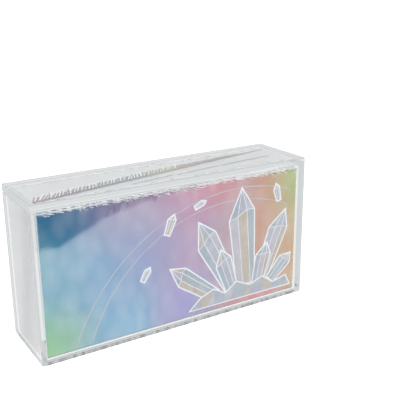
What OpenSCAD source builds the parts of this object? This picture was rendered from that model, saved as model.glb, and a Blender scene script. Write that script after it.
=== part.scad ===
// Clear acrylic display case with a film-wrapped box of trading card packs inside.
// Five cemented sheets make the case, and a lid with a locating plate lifts off the top.
// The front faces -Y, and the origin is at the middle of the underside.

/* [Card box] */
// Length of the wrapped card box, left to right
set_w = 143.4; // [120:0.2:180]
// Depth of the wrapped card box, front to back
set_d = 32; // [28:0.5:44]
// Height of the wrapped card box
set_h = 69.2; // [60:0.2:90]
// Thickness of the carton board
board_t = 0.5; // [0.3:0.1:0.8]
// Thickness of the clear film round the carton
film_t = 0.2; // [0.1:0.05:0.4]
// Radius of the carton's folded edges
fold_r = 0.5; // [0.3:0.1:1.5]

/* [Carton flaps] */
// How far the tuck tongues reach down inside the front wall
tongue_len = 14; // [8:1:20]
// Radius of the tongue's corners
tongue_r = 5; // [2:0.5:7]
// Length of the dust flaps folded in from the ends
dust_len = 26; // [15:1:32]
// How much the dust flaps narrow towards their free edge, each side
dust_taper = 3; // [0:0.5:6]
// Play between the flaps and the board beside them
flap_play = 0.15; // [0.05:0.05:0.4]

/* [Case] */
// Thickness of the front, back and end sheets
wall_t = 3; // [2:0.5:5]
// Thickness of the base sheet
base_t = 2; // [1.5:0.5:6]
// Gap between the card box and each end sheet
end_gap = 0.3; // [0.2:0.1:3]
// Gap between the card box and the front and back sheets
face_gap = 0.75; // [0.3:0.05:3]
// Polished bevel on the edges that stay open, not on the cemented ones
bevel = 0.4; // [0.1:0.1:0.8]

/* [Lid] */
// Thickness of the lid's cover sheet
lid_t = 4; // [2:0.5:6]
// Thickness of the locating plate under the lid
locator_t = 1.5; // [1:0.5:4]
// Gap between the locating plate and the walls round it
locator_gap = 0.3; // [0.2:0.1:1]
// Gap between the card box and the locating plate above it
head_gap = 0.5; // [0.4:0.1:4]
// Bevel round the lower edge of the locating plate
locator_bevel = 0.5; // [0.1:0.1:0.8]

/* [Film seam] */
// Width of the welded strip of the seam
seam_w = 2.5; // [1:0.5:4]
// Thickness of the seam where it lies on the film
seam_t = 0.25; // [0.1:0.05:0.4]
// Distance from the left and right ends of the box to the seam's ends
seam_inset = 1; // [0.5:0.5:12]
// Distance from the front edge of the box to the seam's left end
seam_front = 3; // [2:0.5:12]
// Distance from the back edge of the box to the seam's right end
seam_back = 1.5; // [1:0.5:12]
// Spacing of the pleats along the seam
pleat_pitch = 2; // [1.5:0.5:6]
// How far the pleats reach from the weld
pleat_len = 6; // [1:0.5:7]
// Share of the seam's length that is pleated, from its left end
pleated = 0.6; // [0.3:0.1:0.7]
// How far a pleat leans along the seam for each mm that it reaches back
pleat_lean = 0.8; // [0:0.1:2]

/* [Packs] */
// Number of packs stacked front to back
pack_count = 10; // [4:1:12]
// Play between neighbouring packs
pack_play = 0.06; // [0.02:0.02:0.2]
// Play between the packs and the carton's ends
pack_end_play = 2; // [0.5:0.5:8]
// Play above and below the packs
pack_side_play = 0.4; // [0.2:0.1:2]
// Length of the flat crimp at each end of a pack
crimp_len = 9; // [6:0.5:14]
// Thickness of the crimps
crimp_t = 0.5; // [0.3:0.1:0.8]
// Length of the flat middle of a pack, over its cards
card_len = 90; // [70:1:95]
// Spacing of the saw teeth cut in the crimps
tooth_pitch = 2.5; // [2:0.5:5]
// Depth of the saw teeth
tooth_depth = 1.2; // [0.5:0.1:2]

/* [Hidden] */
// Levels from the ground up
set_z = base_t;
lid_z = set_z + set_h + head_gap + locator_t;
wall_h = lid_z;
// Inside and outside of the case
inner_w = set_w + 2 * end_gap;
inner_d = set_d + 2 * face_gap;
case_w = inner_w + 2 * wall_t;
case_d = inner_d + 2 * wall_t;
// The carton within its film
carton_w = set_w - 2 * film_t;
carton_d = set_d - 2 * film_t;
carton_h = set_h - 2 * film_t;
carton_z = set_z + film_t;
carton_in_w = carton_w - 2 * board_t;
carton_in_d = carton_d - 2 * board_t;
fold_in_r = fold_r / 2;
// The packs fill what the walls, flaps and dust flaps leave
store_h = carton_h - 4 * board_t;
pack_w = store_h - 2 * pack_side_play;
pack_len = carton_in_w - 2 * pack_end_play;
stack_d = carton_in_d - board_t - flap_play;
pack_t = (stack_d - (pack_count + 1) * pack_play) / pack_count;
taper_len = (pack_len - card_len) / 2 - crimp_len;
taper_steps = 6;
arc_steps = 6;
round_fn = 48;

acrylic = [0.86, 0.91, 0.93, 0.35];
film = [0.92, 0.93, 0.96, 0.3];
board = [0.62, 0.68, 0.80];
board_back = [0.90, 0.90, 0.88];

PACKS = [for (i = [1 : pack_count]) str("pack_", i)];

// ---- Shared profiles ----

// Rectangle centred on the origin with its four corners cut at 45 degrees
function cut_corners(w, h, c) = [
    [-w / 2 + c, -h / 2], [w / 2 - c, -h / 2], [w / 2, -h / 2 + c], [w / 2, h / 2 - c],
    [w / 2 - c, h / 2], [-w / 2 + c, h / 2], [-w / 2, h / 2 - c], [-w / 2, -h / 2 + c]
];

// Arc of points round a centre, from one angle to another
function arc(centre, r, from, to) = [
    for (i = [0 : arc_steps])
        let (a = from + (to - from) * i / arc_steps)
            centre + r * [cos(a), sin(a)]
];

// Section of a wall sheet, with its outer face at x = 0 and its inner face at x = t
function wall_section(t, h, c) = [[t, 0], [t, h], [c, h], [0, h - c], [0, c], [c, 0]];

// Wall sheet standing on z = 0, outer face at y = 0, with bevels above and below
module wall_sheet(w, t, h, c) {
    rotate([90, 0, 90])
        linear_extrude(w, center = true)
            polygon(wall_section(t, h, c));
}

// Rectangle with round corners
module round_rect(w, d, r) {
    square([w - 2 * r, d], center = true);
    square([w, d - 2 * r], center = true);
    for (x = [-1, 1], y = [-1, 1])
        translate([x * (w / 2 - r), y * (d / 2 - r)]) circle(r, $fn = round_fn);
}

// ---- Case ----

// The base drops between the four walls and is cemented to them on all its square edges
module base_panel() {
    color(acrylic)
        translate([-inner_w / 2, -inner_d / 2, 0])
            cube([inner_w, inner_d, base_t]);
}

// The front and back sheets cover the end sheets' edges, so their own ends are bevelled too
module face_panel() {
    outline = [
        [-case_w / 2, wall_t], [-case_w / 2, bevel], [-case_w / 2 + bevel, 0],
        [case_w / 2 - bevel, 0], [case_w / 2, bevel], [case_w / 2, wall_t]
    ];
    color(acrylic)
        translate([0, -case_d / 2, 0])
            intersection() {
                wall_sheet(case_w, wall_t, wall_h, bevel);
                linear_extrude(wall_h) polygon(outline);
            }
}

module front_panel() {
    face_panel();
}

module back_panel() {
    rotate(180) face_panel();
}

// The end sheets stand between the front and back sheets
module end_panel() {
    color(acrylic)
        translate([case_w / 2, 0, 0])
            rotate(90)
                wall_sheet(inner_d, wall_t, wall_h, bevel);
}

module left_end_panel() {
    rotate(180) end_panel();
}

module right_end_panel() {
    end_panel();
}

// ---- Lid ----

// Flat sheet on z = 0 whose three profiles give the bevels on its edges
module flat_sheet(w, d, h, c, top_c) {
    intersection() {
        linear_extrude(h) polygon(cut_corners(w, d, c));
        rotate([90, 0, 0]) linear_extrude(d, center = true) polygon(edge_section(w, h, c, top_c));
        rotate([90, 0, 90]) linear_extrude(w, center = true) polygon(edge_section(d, h, c, top_c));
    }
}

// Section of a flat sheet across a width, with a bevel below and, if top_c isn't 0, above
function edge_section(w, h, c, top_c) = concat(
    [[-w / 2, h - top_c], [-w / 2, c], [-w / 2 + c, 0], [w / 2 - c, 0], [w / 2, c], [w / 2, h - top_c]],
    top_c > 0 ? [[w / 2 - top_c, h], [-w / 2 + top_c, h]] : []
);

// Cover sheet that rests on the rims of the four walls
module lid_plate() {
    color(acrylic)
        translate([0, 0, lid_z])
            flat_sheet(case_w, case_d, lid_t, bevel, bevel);
}

// Plate cemented under the lid, which drops between the walls and is bevelled to lead in
module lid_locating_plate() {
    color(acrylic)
        translate([0, 0, lid_z - locator_t])
            flat_sheet(inner_w - 2 * locator_gap, inner_d - 2 * locator_gap, locator_t, locator_bevel, 0);
}

// ---- Carton ----

// Four walls of the folded carton, full height, open above and below
module carton_sleeve() {
    color(board)
        translate([0, 0, carton_z])
            linear_extrude(carton_h)
                difference() {
                    round_rect(carton_w, carton_d, fold_r);
                    round_rect(carton_in_w, carton_in_d, fold_in_r);
                }
}

// Tongue outline, hanging from its fold line at y = 0
function tongue_outline(w) = concat(
    [[-w / 2, 0]],
    arc([-w / 2 + tongue_r, -tongue_len + tongue_r], tongue_r, 180, 270),
    arc([w / 2 - tongue_r, -tongue_len + tongue_r], tongue_r, 270, 360),
    [[w / 2, 0]]
);

// Panel that closes one end of the sleeve between its walls, with a tongue inside the front wall
module tuck_flap() {
    linear_extrude(board_t) round_rect(carton_in_w, carton_in_d, fold_in_r);
    translate([0, -carton_in_d / 2 + flap_play, 0])
        rotate([90, 0, 0])
            translate([0, 0, -board_t])
                linear_extrude(board_t)
                    polygon(tongue_outline(carton_in_w - 2 * fold_r));
}

// Everything at the top of the carton, mirrored for the bottom
module at_carton_top() {
    translate([0, 0, carton_z + carton_h - board_t]) children();
}

module at_carton_bottom() {
    translate([0, 0, carton_z + board_t]) mirror([0, 0, 1]) children();
}

module top_tuck_flap() {
    color(board_back) at_carton_top() tuck_flap();
}

module bottom_tuck_flap() {
    color(board_back) at_carton_bottom() tuck_flap();
}

// Pair of flaps folded in from the ends, under the tuck panel and behind its tongue
module dust_flaps() {
    root = stack_d - 2 * flap_play;
    tip = root - 2 * dust_taper;
    outline = [[0, -root / 2], [dust_len, -tip / 2], [dust_len, tip / 2], [0, root / 2]];
    for (side = [-1, 1])
        translate([side * carton_in_w / 2, (board_t + flap_play) / 2, -board_t])
            mirror([side > 0 ? 1 : 0, 0, 0])
                linear_extrude(board_t) polygon(outline);
}

module top_dust_flaps() {
    color(board_back) at_carton_top() dust_flaps();
}

module bottom_dust_flaps() {
    color(board_back) at_carton_bottom() dust_flaps();
}

// ---- Film ----

// Closed skin of film, drawn tight over the carton
module film_wrap() {
    color(film)
        translate([0, 0, set_z])
            difference() {
                linear_extrude(set_h) round_rect(set_w, set_d, fold_r + film_t);
                translate([0, 0, film_t])
                    linear_extrude(carton_h) round_rect(carton_w, carton_d, fold_r);
            }
}

// Welded seam across the top of the box, with slanted pleats drawn up behind it
module film_seam() {
    across = set_w - 2 * seam_inset;
    rise = set_d - seam_front - seam_back - seam_w;
    seam_len = norm([across, rise]);
    lean = pleat_lean * pleat_len;
    pleats = floor((seam_len - lean) * pleated / pleat_pitch);
    saw = [
        for (i = [pleats - 1 : -1 : 0])
            let (x = i * pleat_pitch)
                each [[x + pleat_pitch, seam_w], [x + 0.8 * pleat_pitch + lean, seam_w + pleat_len], [x + 0.4 * pleat_pitch, seam_w]]
    ];
    color(film)
        translate([-set_w / 2 + seam_inset, -set_d / 2 + seam_front, set_z + set_h])
            rotate(atan2(rise, across))
                linear_extrude(seam_t)
                    polygon(concat([[0, 0], [seam_len, 0], [seam_len, seam_w]], saw, [[0, seam_w]]));
}

// ---- Packs ----

// Half thickness of a pack at a distance from its middle
function half_t(x) =
    let (s = min(max((abs(x) - card_len / 2) / taper_len, 0), 1))
        (pack_t + (crimp_t - pack_t) * (1 - cos(180 * s)) / 2) / 2;

// Stations along one half of the pack, from its middle to the crimp's end
stations = concat(
    [for (i = [0 : taper_steps]) card_len / 2 + taper_len * i / taper_steps],
    [pack_len / 2]
);
count = len(stations);

// Side view of a pack: flat over the cards, then drawn in to the crimps
pillow = concat(
    [for (i = [0 : count - 1]) [stations[i], half_t(stations[i])]],
    [for (i = [count - 1 : -1 : 0]) [stations[i], -half_t(stations[i])]],
    [for (i = [0 : count - 1]) [-stations[i], -half_t(stations[i])]],
    [for (i = [count - 1 : -1 : 0]) [-stations[i], half_t(stations[i])]]
);

teeth = floor(pack_w / tooth_pitch);
tooth_step = pack_w / teeth;

// Face view of a pack, with saw teeth across both ends
face = concat(
    [for (i = [0 : 2 * teeth]) [pack_len / 2 - (i % 2) * tooth_depth, -pack_w / 2 + i * tooth_step / 2]],
    [for (i = [2 * teeth : -1 : 0]) [-pack_len / 2 + (i % 2) * tooth_depth, -pack_w / 2 + i * tooth_step / 2]]
);

module pack(index) {
    front = -carton_in_d / 2 + flap_play + board_t + pack_play;
    y = front + (index - 0.5) * pack_t + (index - 1) * pack_play;
    z = carton_z + 2 * board_t + pack_side_play + pack_w / 2;
    color([0.55 + 0.03 * index, 0.62, 0.80 - 0.02 * index])
        translate([0, y, z])
            intersection() {
                linear_extrude(pack_w, center = true) polygon(pillow);
                rotate([90, 0, 0]) linear_extrude(pack_t, center = true) polygon(face);
            }
}

base_panel();
front_panel();
back_panel();
left_end_panel();
right_end_panel();
lid_plate();
lid_locating_plate();
carton_sleeve();
top_tuck_flap();
bottom_tuck_flap();
top_dust_flaps();
bottom_dust_flaps();
film_wrap();
film_seam();
for (i = [1 : pack_count])
    pack(i);
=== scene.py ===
import bpy
import bmesh
import math
from mathutils import Matrix, Vector, noise


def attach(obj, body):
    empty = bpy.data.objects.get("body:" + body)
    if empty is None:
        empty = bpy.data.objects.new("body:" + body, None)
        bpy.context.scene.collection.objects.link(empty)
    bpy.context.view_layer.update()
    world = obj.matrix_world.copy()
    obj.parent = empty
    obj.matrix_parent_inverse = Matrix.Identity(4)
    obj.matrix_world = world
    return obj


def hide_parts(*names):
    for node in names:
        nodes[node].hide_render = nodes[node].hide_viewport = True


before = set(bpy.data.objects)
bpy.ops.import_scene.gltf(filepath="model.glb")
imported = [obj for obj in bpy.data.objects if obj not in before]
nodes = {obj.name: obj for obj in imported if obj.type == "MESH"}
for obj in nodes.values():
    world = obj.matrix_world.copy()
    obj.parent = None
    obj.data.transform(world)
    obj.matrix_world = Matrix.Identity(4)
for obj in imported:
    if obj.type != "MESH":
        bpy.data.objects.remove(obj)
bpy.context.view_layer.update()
mm = 0.001
print("frame loaded with", len(nodes), "nodes")

# camera, matched to seven corners of the case
camera = {
    "place": (-160.08, -291.36, 166.78),  # mm
    "right": (0.84762, -0.53057, -0.00579),
    "up": (0.16555, 0.25409, 0.95291),
    "back": (-0.50411, -0.80866, 0.30321),
    "lens": 62.33,
}
cameraData = bpy.data.cameras.new("camera")
cameraData.lens = camera["lens"]
cameraData.sensor_width = 36
cameraData.clip_start = 0.01
cameraObject = bpy.data.objects.new("camera", cameraData)
turn = Matrix((camera["right"], camera["up"], camera["back"])).transposed().to_4x4()
cameraObject.matrix_world = Matrix.Translation(Vector(camera["place"]) * mm) @ turn
bpy.context.scene.collection.objects.link(cameraObject)
bpy.context.scene.camera = cameraObject
bpy.context.scene.view_settings.view_transform = "Standard"
print("camera set")


# helpers for meshes, all sizes in mm
def makePiece(name, verts, faces, materials, slots=None, smooth=False):
    mesh = bpy.data.meshes.new(name)
    mesh.from_pydata([tuple(c * mm for c in v) for v in verts], [], faces)
    for material in materials:
        mesh.materials.append(material)
    if slots:
        mesh.polygons.foreach_set("material_index", slots)
    mesh.polygons.foreach_set("use_smooth", [smooth] * len(mesh.polygons))
    mesh.update()
    piece = bpy.data.objects.new(name, mesh)
    bpy.context.scene.collection.objects.link(piece)
    return piece


def finishPiece(piece, body, slot, *stoodFor):
    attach(piece, body)
    if stoodFor:
        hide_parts(*stoodFor)


def settle(piece):  # bakes the modifiers into a plain mesh and takes them off
    bpy.context.view_layer.update()
    graph = bpy.context.evaluated_depsgraph_get()
    made = bpy.data.meshes.new_from_object(piece.evaluated_get(graph), depsgraph=graph)
    piece.modifiers.clear()
    piece.data = made


def bridge(rings, closeFirst=True, closeLast=True):  # rings of equal length, anticlockwise from above, going up
    count = len(rings[0])
    verts = [v for ring in rings for v in ring]
    faces = []
    for level in range(len(rings) - 1):
        a, b = level * count, (level + 1) * count
        for i in range(count):
            j = (i + 1) % count
            faces.append((a + i, a + j, b + j, b + i))
    if closeFirst:
        faces.append(tuple(reversed(range(count))))
    if closeLast:
        last = (len(rings) - 1) * count
        faces.append(tuple(range(last, last + count)))
    return verts, faces


# helpers for node trees
def put(tree, kind, inputs=None, **settings):
    node = tree.nodes.new(kind)
    for key, value in settings.items():
        setattr(node, key, value)
    for key, value in (inputs or {}).items():
        if isinstance(value, bpy.types.NodeSocket):
            tree.links.new(value, node.inputs[key])
        else:
            node.inputs[key].default_value = value
    return node


def newGroup(name, kind, inputs, outputs):  # an input holds its default number, or the kind of its socket
    tree = bpy.data.node_groups.new(name, kind)
    for label, value in inputs.items():
        socketKind = value if isinstance(value, str) else "Int" if isinstance(value, int) else "Float"
        socket = tree.interface.new_socket(label, in_out="INPUT", socket_type="NodeSocket" + socketKind)
        if not isinstance(value, str):
            socket.default_value = value
    for label, socketKind in outputs.items():
        tree.interface.new_socket(label, in_out="OUTPUT", socket_type="NodeSocket" + socketKind)
    return tree, tree.nodes.new("NodeGroupInput").outputs, tree.nodes.new("NodeGroupOutput").inputs


def useGroup(tree, group, inputs):
    return put(tree, "ShaderNodeGroup", inputs, node_tree=group).outputs


def newMaterial(name):
    material = bpy.data.materials.new(name)
    material.use_nodes = True
    material.node_tree.nodes.clear()
    return material, material.node_tree, material.node_tree.nodes.new("ShaderNodeOutputMaterial")


def objectPlace(tree):
    return put(tree, "ShaderNodeTexCoord").outputs["Object"]


def axis(tree, vector, letter):
    return put(tree, "ShaderNodeSeparateXYZ", {"Vector": vector}).outputs[letter]


def calc(tree, operation, *values):
    return put(tree, "ShaderNodeMath", dict(enumerate(values)), operation=operation).outputs[0]


def vectorCalc(tree, operation, *values):
    node = put(tree, "ShaderNodeVectorMath", dict(enumerate(values)), operation=operation)
    return node.outputs["Value" if operation in ("LENGTH", "DOT_PRODUCT") else "Vector"]


def mapRange(tree, value, fromLow, fromHigh, low, high, kind="LINEAR"):
    names = ("From Min", "From Max", "To Min", "To Max")
    inputs = dict(zip(names, (fromLow, fromHigh, low, high)))
    inputs["Value"] = value
    return put(tree, "ShaderNodeMapRange", inputs, interpolation_type=kind).outputs["Result"]


def noiseTexture(tree, vector, scale, detail, **more):
    return put(tree, "ShaderNodeTexNoise", dict({"Vector": vector, "Scale": scale, "Detail": detail}, **more)).outputs


def mixColor(tree, share, a, b):
    return put(tree, "ShaderNodeMix", {0: share, 6: a, 7: b}, data_type="RGBA").outputs[2]


def mixValue(tree, share, a, b):
    return put(tree, "ShaderNodeMix", {0: share, 2: a, 3: b}, data_type="FLOAT").outputs[0]


def mixShader(tree, share, a, b):
    return put(tree, "ShaderNodeMixShader", {0: share, 1: a.outputs[0], 2: b.outputs[0]})


def colorRamp(tree, value, stops):
    node = put(tree, "ShaderNodeValToRGB", {"Fac": value})
    elements = node.color_ramp.elements
    while len(elements) < len(stops):
        elements.new(0.5)
    for element, (place, color) in zip(elements, stops):
        element.position = place
        element.color = color
    return node.outputs["Color"]


def linear(red, green, blue):  # screen colour to a socket's linear value
    return tuple(c / 12.92 if c <= 0.04045 else ((c + 0.055) / 1.055) ** 2.4 for c in (red, green, blue)) + (1.0,)


def darker(color, share, lift=0.0):
    return tuple(share * c + lift for c in color[:3]) + (1.0,)


# shader groups shared by the finishes
wearGroup, gIn, gOut = newGroup("surfaceWear", "ShaderNodeTree", {
    "Vector": "Vector", "Scale": 60.0, "Scratches": 0.5,
}, {"Smudge": "Float", "Height": "Float"})
smudge = noiseTexture(wearGroup, gIn["Vector"], gIn["Scale"], 4.0, Roughness=0.6)["Fac"]
stretch = put(wearGroup, "ShaderNodeMapping", {
    "Vector": gIn["Vector"], "Rotation": (0.3, 0.2, 0.5), "Scale": (90.0, 2600.0, 1400.0),
})
hairs = noiseTexture(wearGroup, stretch.outputs["Vector"], 1.0, 1.0)["Fac"]
scratches = calc(wearGroup, "MULTIPLY", mapRange(wearGroup, hairs, 0.70, 0.76, 0.0, 1.0), gIn["Scratches"])
wearGroup.links.new(mapRange(wearGroup, smudge, 0.45, 0.75, 0.0, 1.0), gOut["Smudge"])
wearGroup.links.new(scratches, gOut["Height"])

foilGroup, gIn, gOut = newGroup("foilSwirl", "ShaderNodeTree", {
    "Vector": "Vector", "Scale": 90.0, "Twist": 2.0,
}, {"Mask": "Float", "Height": "Float"})
swirl = noiseTexture(foilGroup, gIn["Vector"], gIn["Scale"], 3.0, Distortion=gIn["Twist"])
curled = vectorCalc(foilGroup, "MULTIPLY_ADD", swirl["Color"], (0.02, 0.02, 0.02), gIn["Vector"])
flow = noiseTexture(foilGroup, curled, 190.0, 2.0, Roughness=0.6)["Fac"]
both = calc(foilGroup, "MULTIPLY", swirl["Fac"], flow)
foilGroup.links.new(mapRange(foilGroup, both, 0.12, 0.42, 0.0, 1.0), gOut["Mask"])
foilGroup.links.new(both, gOut["Height"])

grainGroup, gIn, gOut = newGroup("boardGrain", "ShaderNodeTree", {
    "Vector": "Vector", "Scale": 900.0,
}, {"Mask": "Float", "Height": "Float"})
fibres = noiseTexture(grainGroup, gIn["Vector"], gIn["Scale"], 6.0, Roughness=0.7)["Fac"]
cloud = noiseTexture(grainGroup, gIn["Vector"], 45.0, 2.0)["Fac"]
grainGroup.links.new(mapRange(grainGroup, calc(grainGroup, "MULTIPLY", fibres, cloud), 0.1, 0.45, 0.0, 1.0), gOut["Mask"])
grainGroup.links.new(fibres, gOut["Height"])

glowGroup, gIn, gOut = newGroup("softGlow", "ShaderNodeTree", {
    "Color": "Color", "Vector": "Vector", "Centre": "Vector", "Reach": "Vector", "Glow": "Color", "Strength": 1.0,
}, {"Color": "Color"})
apart = vectorCalc(glowGroup, "SUBTRACT", gIn["Vector"], gIn["Centre"])
far = vectorCalc(glowGroup, "LENGTH", vectorCalc(glowGroup, "DIVIDE", apart, gIn["Reach"]))
share = calc(glowGroup, "MULTIPLY", mapRange(glowGroup, far, 0.0, 1.0, 1.0, 0.0, "SMOOTHSTEP"), gIn["Strength"])
glowGroup.links.new(mixColor(glowGroup, share, gIn["Color"], gIn["Glow"]), gOut["Color"])
print("shader groups built")

# clear plastics
acrylic = {
    "color": (0.99, 0.997, 1.0, 1.0), "clear": 1.0, "ior": 1.49, "rough": (0.0, 0.02), "smudgeScale": 35.0,
    "scratches": 0.6, "bump": 0.06, "shade": (0.97, 0.977, 0.98, 1.0), "absorb": (0.66, 0.76, 0.78, 1.0), "density": 5.0,
    # the colour of the painted glow that stands in for light caught in the sheet
    "edge": linear(0.812, 0.82, 0.825),
}
film = {
    "color": (0.985, 0.985, 0.99, 1.0), "clear": 1.0, "ior": 1.5, "rough": (0.02, 0.07), "smudgeScale": 50.0,
    "scratches": 0.4, "bump": 0.1, "shade": (0.97, 0.97, 0.97, 1.0),
}
# the weld's colours are painted reflection of the print's hues along its length, with dark stretches of painted shade
seam = dict(film, clear=0.08, rough=(0.25, 0.4), ends=(-70.0, 70.0), tints=[
    (0.0, linear(0.50, 0.30, 0.36)), (0.10, linear(0.30, 0.22, 0.32)), (0.20, linear(0.08, 0.12, 0.24)),
    (0.30, linear(0.06, 0.16, 0.26)), (0.38, linear(0.10, 0.34, 0.42)), (0.46, linear(0.34, 0.42, 0.16)),
    (0.54, linear(0.46, 0.40, 0.14)), (0.62, linear(0.50, 0.20, 0.20)), (0.70, linear(0.30, 0.18, 0.26)),
    (0.76, linear(0.06, 0.06, 0.10)), (0.92, linear(0.10, 0.11, 0.13)), (1.0, linear(0.40, 0.41, 0.42)),
])
# a paler copy of the weld's painted reflection, for the film drawn up beside it
drawn = dict(seam, clear=0.4, tints=[(place, darker(color, 0.6, 0.16)) for place, color in seam["tints"]])
# painted highlight: near opaque white film for the glints on pleats and creases; painted shade: grey film for their
# dark strokes and for the folds beside the seam
gathered = dict(film, color=(1.0, 1.0, 1.0, 1.0), clear=0.1, rough=(0.2, 0.35))
shaded = dict(film, color=linear(0.40, 0.42, 0.45), clear=0.2, rough=(0.2, 0.35))
cement = {
    "color": linear(0.26, 0.29, 0.28), "clear": 0.2, "ior": 1.49, "rough": (0.2, 0.4), "smudgeScale": 300.0,
    "scratches": 0.0, "bump": 0.1, "shade": (0.9, 0.9, 0.9, 1.0),
}


def clearMaterial(name, values):  # lamps reach what it covers
    material, tree, out = newMaterial(name)
    place = objectPlace(tree)
    wear = useGroup(tree, wearGroup, {"Vector": place, "Scale": values["smudgeScale"], "Scratches": values["scratches"]})
    bump = put(tree, "ShaderNodeBump", {"Height": wear["Height"], "Strength": values["bump"], "Distance": 0.00003})
    color = values["color"]
    if "tints" in values:  # painted reflection and painted shade: colours that run along the length
        low, high = values["ends"]
        color = colorRamp(tree, mapRange(tree, axis(tree, place, "X"), low * mm, high * mm, 0.0, 1.0), values["tints"])
    surface = put(tree, "ShaderNodeBsdfPrincipled", {
        "Base Color": color, "Roughness": mapRange(tree, wear["Smudge"], 0.0, 1.0, *values["rough"]), "IOR": values["ior"],
        "Transmission Weight": values["clear"], "Normal": bump.outputs["Normal"],
    })
    path = put(tree, "ShaderNodeLightPath").outputs
    lamps = calc(tree, "MAXIMUM", path["Is Shadow Ray"], path["Is Diffuse Ray"])
    trapped = calc(tree, "GREATER_THAN", path["Glossy Depth"], 2.5)
    if "edge" in values:  # painted glow: a ray caught in a thick sheet past two mirrorings meets a pale emission, which stands in for the light seen at its edges
        surface = mixShader(tree, trapped, surface, put(tree, "ShaderNodeEmission", {"Color": values["edge"]}))
    else:  # thin film lets it through
        lamps = calc(tree, "MAXIMUM", lamps, trapped)
    clear = put(tree, "ShaderNodeBsdfTransparent", {"Color": values["shade"]})
    tree.links.new(mixShader(tree, lamps, surface, clear).outputs[0], out.inputs["Surface"])
    if "absorb" in values:
        body = put(tree, "ShaderNodeVolumeAbsorption", {"Color": values["absorb"], "Density": values["density"]})
        tree.links.new(body.outputs[0], out.inputs["Volume"])
    return material


clearAcrylic = clearMaterial("clearAcrylic", acrylic)
clearFilm = clearMaterial("clearFilm", film)
weldedFilm = clearMaterial("weldedFilm", seam)
drawnFilm = clearMaterial("drawnFilm", drawn)
gatheredFilm = clearMaterial("gatheredFilm", gathered)
shadedFilm = clearMaterial("shadedFilm", shaded)
cementMaterial = clearMaterial("cementLine", cement)


# board, print and foil: the group puts out a mask for the roughness and a height for the bump
def opaqueFinish(tree, out, color, group, rough, metallic, strength, distance):
    bump = put(tree, "ShaderNodeBump", {"Height": group["Height"], "Strength": strength, "Distance": distance})
    shader = put(tree, "ShaderNodeBsdfPrincipled", {
        "Base Color": color, "Roughness": mapRange(tree, group["Mask"], 0.0, 1.0, *rough), "Metallic": metallic,
        "Normal": bump.outputs["Normal"],
    })
    tree.links.new(shader.outputs[0], out.inputs["Surface"])


# printed foil board: a run of colour from left to right, with glows over it, on the two wide faces
printed = {
    "run": [
        (0.0, linear(0.28, 0.61, 0.70)), (0.2, linear(0.32, 0.59, 0.76)), (0.36, linear(0.46, 0.53, 0.74)),
        (0.5, linear(0.64, 0.50, 0.68)), (0.64, linear(0.64, 0.52, 0.64)), (0.82, linear(0.74, 0.48, 0.34)),
        (1.0, linear(0.76, 0.58, 0.32)),
    ],
    "reach": 71.3,  # mm from the middle to the end of the run
    "glows": [  # centre and reach in mm from the middle of the base, colour, strength
        ((3, 76), (39, 34), linear(0.78, 0.38, 0.54), 0.95),
        ((24, 76), (22, 22), linear(0.82, 0.42, 0.42), 0.8),
        ((-28, 76), (46, 42), linear(0.63, 0.52, 0.65), 0.85),
        ((-66, 76), (30, 30), linear(0.28, 0.46, 0.63), 0.9),
        ((-76, 0), (38, 40), linear(0.46, 0.74, 0.46), 1.0),
        ((-30, 2), (30, 30), linear(0.34, 0.68, 0.82), 0.9),
        ((2, 10), (28, 26), linear(0.52, 0.53, 0.82), 0.8),
        ((73, 72), (27, 42), linear(0.55, 0.70, 0.25), 0.95),
        ((48, 4), (32, 22), linear(0.86, 0.44, 0.50), 0.95),
    ],
    "metallic": 0.15, "rough": (0.44, 0.32), "drift": 0.02, "deep": 0.045,
    "swirl": 0.04, "swirlPale": (0.9, 0.92, 0.95, 1.0), "shells": 0.17, "shellGrid": (150.0, 85.0, 1.0),
    "foot": 0.8, "footDark": (0.05, 0.06, 0.07, 1.0), "side": linear(0.715, 0.72, 0.73),
    "lean": (0.0, 1.0, 0.23), "bandFrom": -0.005, "bandWide": 0.011,  # the painted shade band on the ends
}
shellPale = (0.85, 0.88, 0.92, 1.0)


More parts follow.
